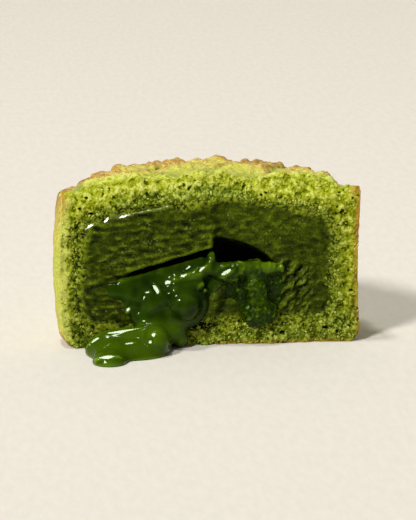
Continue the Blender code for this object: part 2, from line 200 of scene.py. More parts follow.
# The bright spots: place, half length, half width and slant in degrees.
CREAM_KEY_GLEAMS = (
    ((-9.0, -14.0, 10.0), 1.00, 0.45, -55),
    ((-11.0, -14.0, 8.5), 0.40, 0.25, 90),
    ((-13.5, -13.5, 6.5), 0.55, 0.35, 60),
    ((-7.0, -13.5, 11.0), 0.55, 0.30, 20),
    ((-4.5, -13.5, 12.0), 0.80, 0.28, 12),
    ((-1.5, -13.5, 13.0), 0.80, 0.30, 40),
    ((2.5, -14.0, 12.5), 1.10, 0.50, 25),
    ((-1.0, -13.5, 9.5), 0.40, 0.30, 20),
    ((11.5, -12.5, 13.0), 0.35, 0.25, 20),
    ((6.0, -13.5, 6.5), 0.45, 0.30, 30),
    ((-10.5, -20.0, 2.7), 0.45, 0.35, 40),
    ((-10.0, -20.0, 4.0), 0.40, 0.35, 40),
)
CREAM_SOFTBOX_GLEAMS = (
    ((-19.0, -17.0, 2.5), 1.50, 0.32, 49),
    ((-14.7, -16.9, 3.7), 2.90, 0.27, 5),
    ((-14.0, -19.5, 2.0), 0.90, 0.28, 12),
    ((-17.5, -20.3, 1.5), 0.80, 0.20, 60),
    ((-18.0, -24.5, 1.5), 1.60, 0.40, 0),
)
PASTE_GLEAMS = (
    ((-20.0, -13.0, 20.5), 0.90, 0.28, 35),
    ((-17.0, -13.0, 21.5), 0.60, 0.30, 60),
    ((-14.0, -13.0, 22.0), 1.30, 0.28, 8),
)
GLEAM_FLATNESS = 0.94

# Mesh fineness.
COLUMNS = 36 * LOBES
WALL_ROWS = 56
FLOWER_ROWS = 96
CAVITY_COLUMNS = 320
CUT_CELL = 0.13
CRUMB_TRIES = 24000
MOST_CRUMBS = 2400
PASTE_CELL = 0.17
CREAM_CELL = 0.145

# The lights, in metres: the key and the one behind are as far away as the sun.
KEY_FROM = Vector((-340, -360, 440))
KEY_LIGHT = 2.8
KEY_WIDTH = math.radians(11)
SOFTBOX_PLACE = Vector((-0.12, -0.03, 0.62))
SOFTBOX_SIZE = (0.085, 0.065)
SOFTBOX_LIGHT = 1.5
BACK_FROM = Vector((-160, 460, 270))
BACK_LIGHT = 0.30
BACK_WIDTH = math.radians(12)
ROOM_LIGHT = 0.36
ROOM_FRONT = 0.12

# The camera, from the photo: a pixel of the foot of the cut and its distance in metres.
PHOTO_WIDTH, PHOTO_HEIGHT = 416, 520
PHOTO_FOCAL = 1844.0
SENSOR = 36.0
FOOT_PIXEL = (212.3, 210.5)
FOOT_DEPTH = 0.530
CAMERA_AZIMUTH = -6.0
CAMERA_PITCH = 16.0
WINDOW_CENTRE = (211.0, 162.0)
CLOSER = 1.75

# The floor and backdrop, in metres.
FLOOR_SIDE = 1.2
FLOOR_FRONT = -0.6
BACKDROP_START = 0.5
BACKDROP_BEND = 0.3
BACKDROP_TOP = 1.2


# ---- noise

SKEW = np.array(Euler((0.7, 0.5, 0.9)).to_matrix())
SLOPES = np.array([v for v in np.ndindex(3, 3, 3) if v.count(1) == 1], dtype=float) - 1


def scatter(places, seed):
    """Give each whole-numbered place a random number from 0 to 1."""
    i, j, k = np.moveaxis(places, -1, 0)
    mixed = i * 73856093 ^ j * 19349663 ^ k * 83492791 ^ (seed + 1) * 668265263
    mixed = (mixed ^ (mixed >> 13)) * 1274126177 & 0xFFFFFFFF
    mixed = (mixed ^ (mixed >> 15)) * 2246822519 & 0xFFFFFFFF
    return ((mixed ^ (mixed >> 16)) & 0xFFFFFF) / 0xFFFFFF


def clouds(points, size, seed):
    """Smooth noise from about -1 to 1 with bumps of a given size, at an array of points."""
    scaled = points @ SKEW.T / size
    whole = np.floor(scaled).astype(np.int64)
    part = scaled - whole
    fade = part * part * part * (part * (part * 6 - 15) + 10)
    total = np.zeros(points.shape[:-1])
    for offset in np.ndindex(2, 2, 2):
        weight = np.prod(np.where(offset, fade, 1 - fade), axis=-1)
        pick = (scatter(whole + offset, seed) * 11.99).astype(int)
        total += weight * np.sum(SLOPES[pick] * (part - offset), axis=-1)
    return 1.3 * total


def layered(points, size, seed, layers=3, roughness=0.5):
    """Add finer and finer noise to itself."""
    return sum(roughness ** n * clouds(points, size / 2 ** n, seed + n) for n in range(layers))


def grains(points, size, seed):
    """Distance to the nearest of scattered grain centres, in grain sizes, and its number."""
    scaled = points @ SKEW.T / size
    whole = np.floor(scaled).astype(np.int64)
    nearest = np.full(points.shape[:-1], 9.0)
    number = np.zeros(points.shape[:-1])
    for step in np.ndindex(3, 3, 3):
        cell = whole + step - 1
        centre = cell + np.stack([scatter(cell, seed + axis) for axis in range(3)], -1)
        distance = np.linalg.norm(scaled - centre, axis=-1)
        closer = distance < nearest
        nearest = np.where(closer, distance, nearest)
        number = np.where(closer, scatter(cell, seed + 7), number)
    return nearest, number


def old_noise(points):
    """The solids' own noise at an array of points."""
    found = [noise.noise(Vector(point)) for point in points.reshape(-1, 3)]
    return np.array(found).reshape(points.shape[:-1])


def flat_points(x, z):
    """Places of the cut, shifted to y = 0, where its noise is read."""
    return np.stack([x, 0 * x, z], -1)


# ---- form, as in the solids

def blend(low, high, value):
    """Run smoothly from 0 at low to 1 at high, which may be the smaller number."""
    share = np.clip((value - low) / (high - low), 0.0, 1.0)
    return share * share * (3 - 2 * share)


def crease_wave(phase):
    """Repeat broad humps of height 1 with a narrow crease of height 0 at whole numbers."""
    hump = np.sin(math.pi * phase) ** 2
    low = CREASE ** 0.5
    return ((hump + CREASE ** 2) ** 0.25 - low) / ((1 + CREASE ** 2) ** 0.25 - low)


def off_cut(angle):
    """Run from 0 at the cut's two sides to 1 a short way round the back."""
    return blend(math.sin(math.radians(2)), math.sin(math.radians(14)), np.sin(angle))


def lobe_phase(angle, height):
    """Count the flutes around the wall, which meet the cut in a groove on the left alone."""
    level = height / RIM_HEIGHT
    wander = 0.045 * np.sin(3 * angle + 4.5 * level) + 0.030 * np.sin(7 * angle + 1 - 6 * level)
    wander = wander * np.sin(angle) * (0.3 + 0.7 * np.sin(math.pi * np.clip(level, 0, 1)))
    return angle * LOBES / math.tau + LOBE_SHIFT * (1 + np.cos(angle)) / 2 + wander


def wall_radius(angle, height):
    """Distance of the fluted wall from the mould's axis, fuller on the left than the right."""
    fullness = 0.25 - 0.75 * np.cos(angle)
    swell = BELLY * fullness * np.sin(math.pi * np.clip(height / RIM_HEIGHT, 0, 1))
    phase = lobe_phase(angle, height)
    groove = GROOVE_DEPTH * (1 - crease_wave(phase))
    rounding = FLUTE_ROUNDING * off_cut(angle) * np.cos(math.pi * phase) ** 2
    return RADIUS + swell - groove - rounding


def half_width(angle, height):
    """Distance of the wall from the mould's axis, drawn in where the base is rounded."""
    below = np.clip(BASE_EDGE - height, 0, BASE_EDGE)
    return wall_radius(angle, height) - BASE_EDGE + np.sqrt(BASE_EDGE ** 2 - below ** 2)


def rim_height(angle):
    """Height of the rim, which dips behind the two corners of the cut."""
    from_cut = np.arccos(np.clip(abs(np.cos(angle)), 0, 1))
    dip = blend(math.radians(2), math.radians(9), from_cut)
    dip = dip * blend(math.radians(65), math.radians(35), from_cut)
    return RIM_HEIGHT - RIM_DIP * dip


def fan_relief(radius, across, outline, depth):
    """Depth below the crown of a scalloped petal, highest just inside its outline."""
    ridge = np.exp(-((radius - outline + FAN_CREST) / FAN_CREST) ** 2)
    side = 1 - crease_wave(across)
    return depth * (0.75 * (1 - ridge) + side)


def scallop(across, notch):
    """Distance that a petal's outline draws in between its knobs and at its ends."""
    return notch * (1 - crease_wave(across * FAN_KNOBS) + 0.8 * abs(2 * across - 1) ** 3)


def outer_ring(radius, motif):
    """Radius of the outline and depth of the ring of ribs and fans, motif from 0 to 1."""
    groove = 1 - crease_wave(motif / RIB_SHARE * RIBS)
    length = (radius - INNER_FAN_RADIUS) / (FLOWER_RADIUS - INNER_FAN_RADIUS)
    rib_outline = FLOWER_RADIUS - RIB_NOTCH * groove
    rib_depth = RIB_DEPTH * groove * (0.4 + 0.6 * length)
    across = (motif - RIB_SHARE) / (1 - RIB_SHARE)
    fan_outline = FLOWER_RADIUS - scallop(across, FAN_NOTCH)
    fan_depth = fan_relief(radius, across, fan_outline, FAN_DEPTH)
    rib = motif < RIB_SHARE
    return np.where(rib, rib_outline, fan_outline), np.where(rib, rib_depth, fan_depth)


def boss_relief(radius, across):
    """Height of the button and its ring of small petals in the middle of the flower."""
    petals = blend(BOSS_RADIUS, BOSS_RADIUS - 2 * BOSS_STEP, radius) * crease_wave(across)
    petals = petals * blend(BUTTON_RADIUS, BUTTON_RADIUS + 2 * BOSS_STEP, radius)
    button = blend(BUTTON_RADIUS + BOSS_STEP, BUTTON_RADIUS - BOSS_STEP, radius)
    return BOSS_HEIGHT * np.maximum(petals, button)


def inner_ring(radius, across):
    """Radius of the outline and depth of the small petals behind the ribs, and the boss."""
    outline = INNER_FAN_RADIUS - scallop(across, INNER_FAN_NOTCH)
    petals = fan_relief(radius, across, outline, INNER_FAN_DEPTH)
    boss = INNER_FAN_DEPTH - boss_relief(radius, across)
    share = blend(BOSS_RADIUS - BOSS_STEP, BOSS_RADIUS + BOSS_STEP, radius)
    return outline, boss + (petals - boss) * share


def crown_height(radius):
    """Height of the domed top of the flower, before anything is pressed into it."""
    return CROWN_HEIGHT - (CROWN_HEIGHT - FLOWER_EDGE_HEIGHT) * (radius / FLOWER_RADIUS) ** 2


def flower_height(radius, angle):
    """Height over the base of the top inside the moat."""
    wander = 0.020 * np.sin(9 * angle + 2) + 0.012 * np.sin(17 * angle + radius / 2)
    motif = ((angle + wander - MOTIF_TURN) * MOTIFS / math.tau) % 1.0
    outline, outer_depth = outer_ring(radius, motif)
    inner_outline, inner_depth = inner_ring(radius, (motif - RIB_SHARE / 2 + 0.5) % 1.0)
    outside = blend(inner_outline, inner_outline + INNER_STEP, radius)
    raised = crown_height(radius) - inner_depth - (outer_depth - inner_depth) * outside
    fall = blend(outline - FLOWER_EDGE, outline, radius)
    return raised + (MOAT_HEIGHT - raised) * fall


def cavity_radius(angle):
    """Radius of the space inside the crust, nearer the wall on the left than the right."""
    thickness = (WALL_LEFT + WALL_RIGHT) / 2 + (WALL_RIGHT - WALL_LEFT) / 2 * np.cos(angle)
    return RADIUS - thickness


def edge_wander(points):
    """How far outwards the edge between crust and paste strays from the plain form."""
    flat = points * (1, 0, 1)
    return 0.75 * clouds(flat, 5.5, 61) + 0.40 * layered(flat, 1.8, 62)


def above_slab_edge(x, z):
    """Height of a place over the sloping lower edge of the slab."""
    (low_x, low_z), (high_x, high_z) = SLAB_EDGE_LOW, SLAB_EDGE_HIGH
    return z - low_z - (x - low_x) * (high_z - low_z) / (high_x - low_x)


# ---- fields: about the distance outside a form from arrays of x, y and z

def smooth_max(a, b, reach):
    """The larger of two fields, rounded where they cross."""
    share = np.clip(reach - abs(a - b), 0, None) / reach
    return np.maximum(a, b) + share * share * reach / 4


def smooth_min(a, b, reach):
    """The smaller of two fields, rounded where they cross."""
    return -smooth_max(-a, -b, reach)


def ball_field(place, centre, radii):
    """An ellipsoid."""
    scaled = [(v - c) / r for v, c, r in zip(place, centre, radii)]
    away = np.sqrt(sum(v ** 2 for v in scaled))
    slope = np.sqrt(sum((v / r) ** 2 for v, r in zip(scaled, radii)))
    return away * (away - 1) / np.maximum(slope, 1e-9)


def strand_field(place, strand):
    """A rounded strand through points, each with its radius."""
    nearest = None
    for start, end in zip(strand, strand[1:]):
        along = [e - s for s, e in zip(start, end)]
        offset = [v - s for v, s in zip(place, start)]
        share = sum(o * a for o, a in zip(offset, along)) / sum(a * a for a in along[:3])
        share = np.clip(share, 0, 1)
        apart = np.sqrt(sum((o - a * share) ** 2 for o, a in zip(offset, along)))
        apart = apart - start[3] - along[3] * share
        nearest = apart if nearest is None else smooth_min(nearest, apart, 0.6)
    return nearest


def barrel_field(place):
    """The plain form of the space in the crust."""
    x, y, z = place
    middle = (FLOOR_THICKNESS + CAVITY_TOP - CAVITY_SAG) / 2
    edge = cavity_radius(np.arctan2(y - CUT_Y, x)) - CAVITY_CORNER
    radius = np.hypot(x, y - CUT_Y)
    sag = CAVITY_SAG * np.clip(1 - (radius / edge) ** 2, 0, 1) * (z > middle)
    out = radius - edge
    over = abs(z - sag - middle) - (middle - FLOOR_THICKNESS - CAVITY_CORNER)
    outside = np.hypot(np.maximum(out, 0), np.maximum(over, 0))
    return outside + np.minimum(np.maximum(out, over), 0) - CAVITY_CORNER


def outside_cavity(points):
    """Distance of points from the uneven space inside the crust."""
    return barrel_field(np.moveaxis(points, -1, 0)) - edge_wander(points)


def pocket_field(place):
    """The pocket in the paste, less the slab that hangs before it."""
    x, y, z = place
    slab = np.maximum(-above_slab_edge(x, z), x - SLAB_RIGHT)
    slab = smooth_max(slab, y - CUT_Y - SLAB_THICKNESS, 0.8)
    return smooth_max(ball_field(place, POCKET_CENTRE, POCKET_RADII), -slab, 0.5)


# ---- meshes

def add_object(name, data):
    """Put an object in the scene."""
    added = bpy.data.objects.new(name, data)
    bpy.context.collection.objects.link(added)
    return added


def make_piece(name, points, faces, slots=2):
    """Make an object with empty material slots from arrays of points and faces."""
    mesh = bpy.data.meshes.new(name)
    mesh.from_pydata(points, [], faces)
    for _ in range(slots):
        mesh.materials.append(None)
    mesh.update()
    return add_object(name, mesh)


def read(items, name, width=1, kind=float):
    """Read a property of a mesh's points, edges or faces, with width numbers each."""
    found = np.empty(width * len(items), dtype=kind)
    items.foreach_get(name, found)
    return found if width == 1 else found.reshape(-1, width)


def points_of(piece):
    """Read an object's points."""
    return read(piece.data.vertices, "co", 3)


def move_points(piece, points):
    """Write an object's points."""
    piece.data.vertices.foreach_set("co", points.ravel())
    piece.data.update()


def normals_of(piece):
    """Read the direction in which an object's surface faces at each point."""
    return read(piece.data.vertex_normals, "vector", 3)


def raise_surface(piece, points, heights):
    """Write an object's points, each raised by its height over the surface."""
    move_points(piece, points + normals_of(piece) * heights[:, None])


def smoothed(piece, rounds):
    """An object's points after they have moved halfway to their neighbours' middle."""
    one, two = read(piece.data.edges, "vertices", 2, int).T
    points = points_of(piece)
    count = len(points)
    beside = np.bincount(one, minlength=count) + np.bincount(two, minlength=count)
    for _ in range(rounds):
        for axis in range(3):
            total = np.bincount(one, points[two, axis], count)
            total += np.bincount(two, points[one, axis], count)
            points[:, axis] = 0.5 * points[:, axis] + 0.5 * total / np.maximum(beside, 1)
    return points


def convexity(piece, rounds):
    """How far each point stands out of its surroundings, or in if below zero."""
    return np.sum((points_of(piece) - smoothed(piece, rounds)) * normals_of(piece), axis=1)


def mark(piece, **marks):
    """Keep numbers for each point of an object, for its material."""
    for name, values in marks.items():
        kept = piece.data.attributes.new(name, "FLOAT", "POINT")
        kept.data.foreach_set("value", np.asarray(values, dtype=np.float32))


def give_second_slot(piece, chosen):
    """Put the faces whose corners are all among the chosen points in the second slot."""
    faces = piece.data.polygons
    corners = read(piece.data.loops, "vertex_index", kind=int)
    slots = read(faces, "material_index", kind=int)
    slots[np.minimum.reduceat(chosen[corners], read(faces, "loop_start", kind=int))] = 1
    faces.foreach_set("material_index", slots)


def camera_ray(pixel):
    """Direction from the photo's camera through a pixel, one metre deep."""
    turn = Euler((math.radians(90 - CAMERA_PITCH), 0, math.radians(CAMERA_AZIMUTH)))
    across = (pixel[0] - PHOTO_WIDTH / 2) / PHOTO_FOCAL
    up = (PHOTO_HEIGHT / 2 - pixel[1]) / PHOTO_FOCAL
    return turn.to_matrix() @ Vector((across, up, -1.0))


def camera_place():
    """Where the photo's camera stood, in metres."""
    return Vector((0, CUT_Y * MM, 0)) - camera_ray(FOOT_PIXEL) * FOOT_DEPTH


def add_gleam(piece, light, place, length, width, slant):
    """Flatten an oval of a wet surface where it mirrors a light, and give its points."""
    spot = Vector(place) * MM
    facing = ((camera_place() - spot).normalized() + (light - spot).normalized()).normalized()
    along = Vector((math.cos(math.radians(slant)), 0, math.sin(math.radians(slant))))
    along = (along - facing * along.dot(facing)).normalized()
    axes = np.array((facing, along, facing.cross(along)))
    points = points_of(piece)
    nearest = points[np.argmin(np.sum((points - place) ** 2, axis=1))]
    out, u, v = axes @ (points - nearest).T
    reach = np.hypot(u / length, v / width)
    weight = blend(1.9, 0.8, reach) * (abs(out) < 1.0) * (normals_of(piece) @ axes[0] > 0)
    move_points(piece, points - np.outer(GLEAM_FLATNESS * weight * out, axes[0]))
    return weight > 0.5


def apply_modifiers(piece):
    """Replace an object's mesh by what its modifiers make of it."""
    graph = bpy.context.evaluated_depsgraph_get()
    piece.data = bpy.data.meshes.new_from_object(piece.evaluated_get(graph))
    piece.modifiers.clear()


def cut(piece, cutter):
    """Take a cutter, which is used up, away from an object; the cut gets the second slot."""
    cutter.data.polygons.foreach_set("material_index", [1] * len(cutter.data.polygons))
    boolean = piece.modifiers.new("cut", "BOOLEAN")
    boolean.operation = "DIFFERENCE"
    boolean.solver = "MANIFOLD"
    boolean.object = cutter
    apply_modifiers(piece)
    bpy.data.objects.remove(cutter, do_unlink=True)


def quarter_turn(steps):
    """Sine and cosine at each step of a quarter turn."""
    return [(math.sin(turn), math.cos(turn)) for turn in np.linspace(0, math.pi / 2, steps)]


def ring_solid(name, rings, angles):
    """Close a solid of rings about the mould's axis, each a radius and a height."""
    rings = np.array([np.broadcast_arrays(angles, *ring)[1:] for ring in rings])
    radius, height = rings.transpose(1, 0, 2)
    points = np.stack([radius * np.cos(angles), CUT_Y + radius * np.sin(angles), height], -1)
    poles = [(0, CUT_Y, height[0].mean()), (0, CUT_Y, height[-1].mean())]
    index = np.arange(radius.size).reshape(radius.shape)
    beside = np.roll(index, -1, axis=1)
    sides = np.stack([index[:-1], beside[:-1], beside[1:], index[1:]], -1)
    faces = sides.reshape(-1, 4).tolist()
    faces += [[radius.size, b, a] for a, b in zip(index[0].tolist(), beside[0].tolist())]
    faces += [[radius.size + 1, a, b] for a, b in zip(index[-1].tolist(), beside[-1].tolist())]
    return make_piece(name, np.concatenate([points.reshape(-1, 3), poles]), faces)


def front_block(x, z, surface):
    """Build a block that fills everything in front of y = surface, an array over z by x."""
    grid_x, grid_z = np.meshgrid(x, z)
    far = np.stack([grid_x, surface, grid_z], -1).reshape(-1, 3)
    index = np.arange(len(far)).reshape(surface.shape)
    squares = np.stack([index[:-1, :-1], index[1:, :-1], index[1:, 1:], index[:-1, 1:]], -1)
    border = np.concatenate([index[0], index[1:, -1], index[-1, -2::-1], index[-2:0:-1, 0]])
    near = far[border]
    near[:, 1] = CUT_Y - 1.2 * RADIUS
    ring = np.arange(len(border)) + len(far)
    sides = np.stack([border, np.roll(border, -1), np.roll(ring, -1), ring], -1)
    faces = squares.reshape(-1, 4).tolist() + sides.tolist() + [ring.tolist()]
    return make_piece("cutter", np.concatenate([far, near]), faces)


def net_points(field, axes, where):
    """The middle of a field's crossings of zero on the edges of each cell that has some."""
    offsets = list(np.ndindex(2, 2, 2))
    values = {offset: field[tuple((where + offset).T)] for offset in offsets}
    total = np.zeros(where.shape)
    crossings = np.zeros((len(where), 1))
    for start in offsets:
        for axis in np.flatnonzero(np.equal(start, 0)):
            low, high = values[start], values[tuple(np.add(start, np.arange(3) == axis))]
            crossed = (low < 0) != (high < 0)
            place = np.tile(np.array(start, dtype=float), (len(where), 1))
            place[:, axis] += np.where(crossed, low / np.where(crossed, low - high, 1), 0)
            total += place * crossed[:, None]
            crossings += crossed[:, None]
    cells = (where + total / crossings).T
    return np.stack([np.interp(v, np.arange(len(axis)), axis) for v, axis in zip(cells, axes)], -1)


def surface_net(name, field, axes):
    """Wrap a mesh round where a field over three axes is below zero."""
    inside = field < 0
    corners = [
        inside[tuple(slice(v, n - 1 + v) for v, n in zip(offset, inside.shape))]
        for offset in np.ndindex(2, 2, 2)
    ]
    mixed = np.any(corners, axis=0) & ~np.all(corners, axis=0)
    where = np.argwhere(mixed)
    number = np.full(mixed.shape, -1)
    number[mixed] = np.arange(len(where))
    quads = []
    for axis in range(3):
        one, two = [step for step in np.eye(3, dtype=int) if not step[axis]]
        low, high = [slice(1, -1)] * 3, [slice(1, -1)] * 3
        low[axis], high[axis] = slice(0, -1), slice(1, None)
        start, end = inside[tuple(low)], inside[tuple(high)]
        for flip, crossing in ((False, start & ~end), (True, ~start & end)):
            edge = np.argwhere(crossing)
            beside = (edge, edge + one, edge + one + two, edge + two)
            quad = np.stack([number[tuple(cell.T)] for cell in beside], -1)
            quads.append(quad[:, ::-1] if flip != (axis == 1) else quad)
    return make_piece(name, net_points(field, axes, where), np.concatenate(quads).tolist())


# ---- the crust

def crust_rings(angles):
    """Radius and height of each ring of the crust's outside, from base to crown."""
    rings = [(wall_radius(angles, 0) * share, 0) for share in np.linspace(0.15, 0.9, 4)]
    rim = rim_height(angles)
    wall_top = rim - RIM_EDGE
    heights = [BASE_EDGE * (1 - cosine) for _, cosine in quarter_turn(9)]
    for share in np.linspace(0, 1, WALL_ROWS + 2)[1:-1]:
        heights.append(BASE_EDGE + (wall_top - BASE_EDGE) * share)
    rings += [(half_width(angles, height), height) for height in heights]
    for sine, cosine in quarter_turn(7):
        height = wall_top + RIM_EDGE * sine
        rings.append((wall_radius(angles, height) - RIM_EDGE * (1 - cosine), height))
    edge = wall_radius(angles, rim) - RIM_EDGE
    for share in np.linspace(0, 1, 6)[1:]:
        rings.append((edge + (RIM_INNER_RADIUS - edge) * share, rim))
    rings.append((MOAT_RADIUS, MOAT_HEIGHT))
    for radius in FLOWER_RADIUS * (1 - np.linspace(0, 1, FLOWER_ROWS + 1)[:-1]):
        rings.append((radius, flower_height(radius, angles)))
    return rings


def cavity_solid():
    """Build the space inside the crust, with an uneven surface."""
    angles = np.linspace(0, math.tau, CAVITY_COLUMNS, endpoint=False)
    corner, low, high = CAVITY_CORNER, FLOOR_THICKNESS, CAVITY_TOP - CAVITY_SAG
    edge = cavity_radius(angles) - corner
    rings = [(edge * share, low) for share in np.linspace(0, 1, 12)[1:-1]]
    rings += [(edge + corner * s, low + corner * (1 - c)) for s, c in quarter_turn(12)]
    rings += [(edge + corner, level) for level in np.linspace(low + corner, high - corner, 20)[1:-1]]
    rings += [(edge + corner * c, high - corner * (1 - s)) for s, c in quarter_turn(12)]
    for share in np.linspace(1, 0, 20)[1:-1]:
        rings.append((edge * share, high + CAVITY_SAG * (1 - share ** 2)))
    solid = ring_solid("inside", rings, angles)
    points = points_of(solid)
    raise_surface(solid, points, CAVITY_ROUGHNESS * layered(points, 0.9, 31) + edge_wander(points))
    return solid


def crust_cut(flat):
    """The crust's cut face as in the solids: y at places of the cut."""
    y = CRUMB_DEPTH * old_noise(flat / CRUMB_SIZE)
    y += TEAR_DEPTH * old_noise((flat + (0, TEAR_SIZE, 0)) / TEAR_SIZE)
    return CUT_Y + y + BROW_SETBACK * blend(BROW_HEIGHT, CROWN_HEIGHT, flat[..., 2])


def crumb_relief(flat):
    """Crumbs of all sizes with pores between them: how far in the surface lies."""
    inward = 0.5 * layered(flat, 1.6, 3)
    for seed, size in enumerate(CRUMB_GRAINS, start=11):
        distance, number = grains(flat, size, seed)
        inward += 0.5 * (np.clip(distance, 0, 0.9) ** 2 - 0.3) + 0.6 * (number - 0.5)
    pores = clouds(flat, 0.7, 22) + 0.5 * clouds(flat, 3.5, 18)
    inward += 2.2 * blend(0.66, 0.95, pores)
    ragged = 0.9 * clouds(flat, 0.4, 23)
    for x, z, radius in BIG_PORES:
        away = np.hypot(flat[..., 0] - x, flat[..., 2] - z) / radius
        inward += 2.4 * blend(1.3, 0.4, away + ragged)
    return CRUMB_RELIEF * inward


def at_top(z):
    """Run from 0 on the cake's side to 1 on its top edge."""
    return blend(24.6, 25.6, z)


def left_rind(points):
    """The smooth rind that the knife left along the left edge of the cut, from 0 to 1."""
    x, _, z = np.moveaxis(points, -1, 0)
    inside = half_width(math.pi, z) + x + 0.35 * clouds(points, 1.6, 19)
    ends = (1 - at_top(z)) * blend(0.6, 1.6, z)
    return blend(1.35, 0.85, inside) * ends * (x < 0)


def crumb_face():
    """The crust's cut face with its crumb, as x, z, and y over a grid of z by x."""
    x = np.arange(-RADIUS - 3, RADIUS + 3, CUT_CELL)
    z = np.arange(-3, CROWN_HEIGHT + 3, CUT_CELL)
    flat = flat_points(*np.meshgrid(x, z))
    relief = crumb_relief(flat) * (1 - 0.8 * left_rind(flat))
    return x, z, crust_cut(flat) + relief - 0.05


def torn_skin(points):
    """Where the skin of the top is torn off next to the cut, from 0 to 1."""
    back = points[:, 1] - CUT_Y - BROW_SETBACK + 1.3 * layered(points * (1, 1, 0), 3.2, 47)
    return blend(2.6, 1.4, back) * at_top(points[:, 2])


def skin_height(points):
    """Grain of the baked skin: low swellings, sandy grain, small pits and torn places."""
    z = points[:, 2]
    height = SKIN_SWELLING * layered(points, 3.5, 41, 2) * (1 + 1.2 * blend(25, 27, z))
    height += SKIN_SAND * layered(points, 0.7, 43, 2)
    distance, number = grains(points, 1.1, 45)
    height -= SKIN_PIT * (number > 0.8) * np.clip(1 - distance / 0.42, 0, 1)
    height += TOP_LUMPS * blend(24.5, 26, z) * layered(points, 2.0, 49)
    crumbs = np.clip(grains(points, 0.75, 48)[0], 0, 0.9) ** 2 - 0.3
    return height - TORN_RELIEF * torn_skin(points) * crumbs


def box_blur(values, reach):
    """Average an array of rows and columns over squares of 2 x reach + 1 cells."""
    size = 2 * reach + 1
    for _ in range(2):
        total = np.cumsum(np.pad(values, ((reach + 1, reach), (0, 0)), "edge"), axis=0)
        values = (total[size:] - total[:-size]).T / size
    return values


def look_up(values, x, z, points):
    """Read an array over z by x at the nearest place to each point."""
    column = np.rint(np.interp(points[:, 0], x, np.arange(len(x)))).astype(int)
    row = np.rint(np.interp(points[:, 2], z, np.arange(len(z)))).astype(int)
    return values[row, column]


def moisture(points):
    """How dark and dense the crumb is: next to the filling and at the left, and with painted shade
    low down.
    """
    x, _, z = points.T
    over_middle = blend(14, 9, abs(x + 5)) * blend(18, 22, z)
    wider = np.maximum(over_middle, 0.2 * blend(14, 19, x))
    near_filling = blend(2.2, -0.2, outside_cavity(points) - wider)
    # Painted shade: the crumb darkens towards the bottom of the cut.
    low = (0.90 + 0.10 * blend(-2, -8, x)) * blend(11, 1.5, z)
    left = 0.55 * blend(-19, -23, x) * blend(25, 19, z)
    patchy = 1 + 0.35 * clouds(points, 2.0, 57)
    return np.clip(np.maximum(near_filling, np.maximum(low, left)) * patchy, 0, 1)


def skin_tones(points):
    """How much painted shade the skin gets in its grooves and the flower's hollows, and how brown it
    is: most on rim and ridges.
    """
    x, y, z = points.T
    radius = np.hypot(x, y - CUT_Y)
    angle = np.arctan2(y - CUT_Y, x)
    wave = crease_wave(lobe_phase(angle, z))
    # Painted shade, partly the grooves' own greener colour: darker in the wall's grooves.
    crease = (0.45 * blend(0.65, 0.25, wave) + 0.55 * blend(0.24, 0.0, wave)) * off_cut(angle)
    brown = blend(7, 26, z + 5 * clouds(points, 9, 59)) ** 2.5 * (0.30 + 0.45 * wave)
    brown = np.maximum(brown, 0.35 * blend(3.5, 0.3, z)) + 0.10
    inner = np.minimum(radius, FLOWER_RADIUS)
    top = flower_height(inner, angle)
    # Painted shade: darker where the flower is pressed in.
    top_crease = 0.9 * blend(0.4, 1.9, crown_height(inner) - top)
    raised = blend(MOAT_HEIGHT, MOAT_HEIGHT + 2.6, top)
    top_brown = 0.05 + 0.50 * raised * blend(2, 19, radius)
    on_top = blend(23.6, 22.4, radius) * blend(24, 25, z)
    return crease + (top_crease - crease) * on_top, brown + (top_brown - brown) * on_top


def edge_browning(points):
    """How brown the cut is close to the skin: most at its upper corners."""
    x, y, z = points.T
    depth = wall_radius(np.arctan2(y - CUT_Y, x), z) - np.hypot(x, y - CUT_Y)
    right = blend(-5, 5, x)
    edge = blend(0.7 + 0.3 * right, 0.1 + 0.2 * right, np.minimum(depth, z + 0.2))
    edge *= (0.45 + 0.4 * blend(8, 20, z)) * np.where(x < 0, blend(20, 25, z), 1.0)
    from_corner = np.hypot(abs(x) - 24.6, z - RIM_HEIGHT) + 0.6 * clouds(points, 1.2, 58)
    return np.maximum(edge, 0.65 * blend(2.4, 0.8, from_corner))


def mark_crust(crust, x, z, face):
    """Mark the crumb's lightness and wetness, with painted light and shade, and the skin's colours
    and torn places.
    """
    points = points_of(crust)
    on_cut = points[:, 1] - look_up(face, x, z, points) < 0.02
    inner = on_cut | (outside_cavity(points) < 0.6)
    torn = torn_skin(points) * ~inner
    rind = left_rind(points) * on_cut
    # Painted shade and light: the crumb is darker in its pores and lighter where grains stand out;
    # the noise and grains add its own random lightness.
    proud = look_up(box_blur(face, 5) - face, x, z, points)
    tone = 0.55 + 0.29 * proud / 0.15 + 0.10 * layered(points, 2.2, 51)
    tone = np.clip(tone + 0.40 * (grains(points, 0.38, 53)[1] - 0.5), 0, 1)
    # Painted light: the top band of the cut is made lighter; the smooth rind gets an even lightness.
    tone += 0.14 * blend(24.6, 26.4, points[:, 2]) + (0.92 - tone) * rind
    # Painted light: torn skin is lighter where it stands out.
    torn_tone = 0.84 + 0.45 * (grains(points, 0.42, 54)[1] - 0.5) + 3 * convexity(crust, 4)
    crease, brown = skin_tones(points)
    brown = np.clip(brown + 0.25 * np.clip(convexity(crust, 6) / 0.06, -0.5, 1), 0, 1)
    mark(
        crust,
        tone=np.where(torn > 0, np.clip(torn_tone, 0, 1), tone),
        browning=np.where(inner | (torn > 0.5), edge_browning(points) * inner, brown),
        crease=crease,
        moist=moisture(points) * (1 - rind),
    )
    give_second_slot(crust, torn > 0.3)


def make_crust():
    """Build the crust: the fluted drum with its flower, cut, and hollow inside."""
    angles = np.linspace(0, math.tau, COLUMNS, endpoint=False)
    crust = ring_solid("crust_fine", crust_rings(angles), angles)
    points = points_of(crust)
    raise_surface(crust, points, skin_height(points) * blend(0.2, 1.0, points[:, 2]))
    x, z, face = crumb_face()
    cut(crust, front_block(x, z, face))
    cut(crust, cavity_solid())
    mark_crust(crust, x, z, face)
    return crust


# ---- loose crumbs

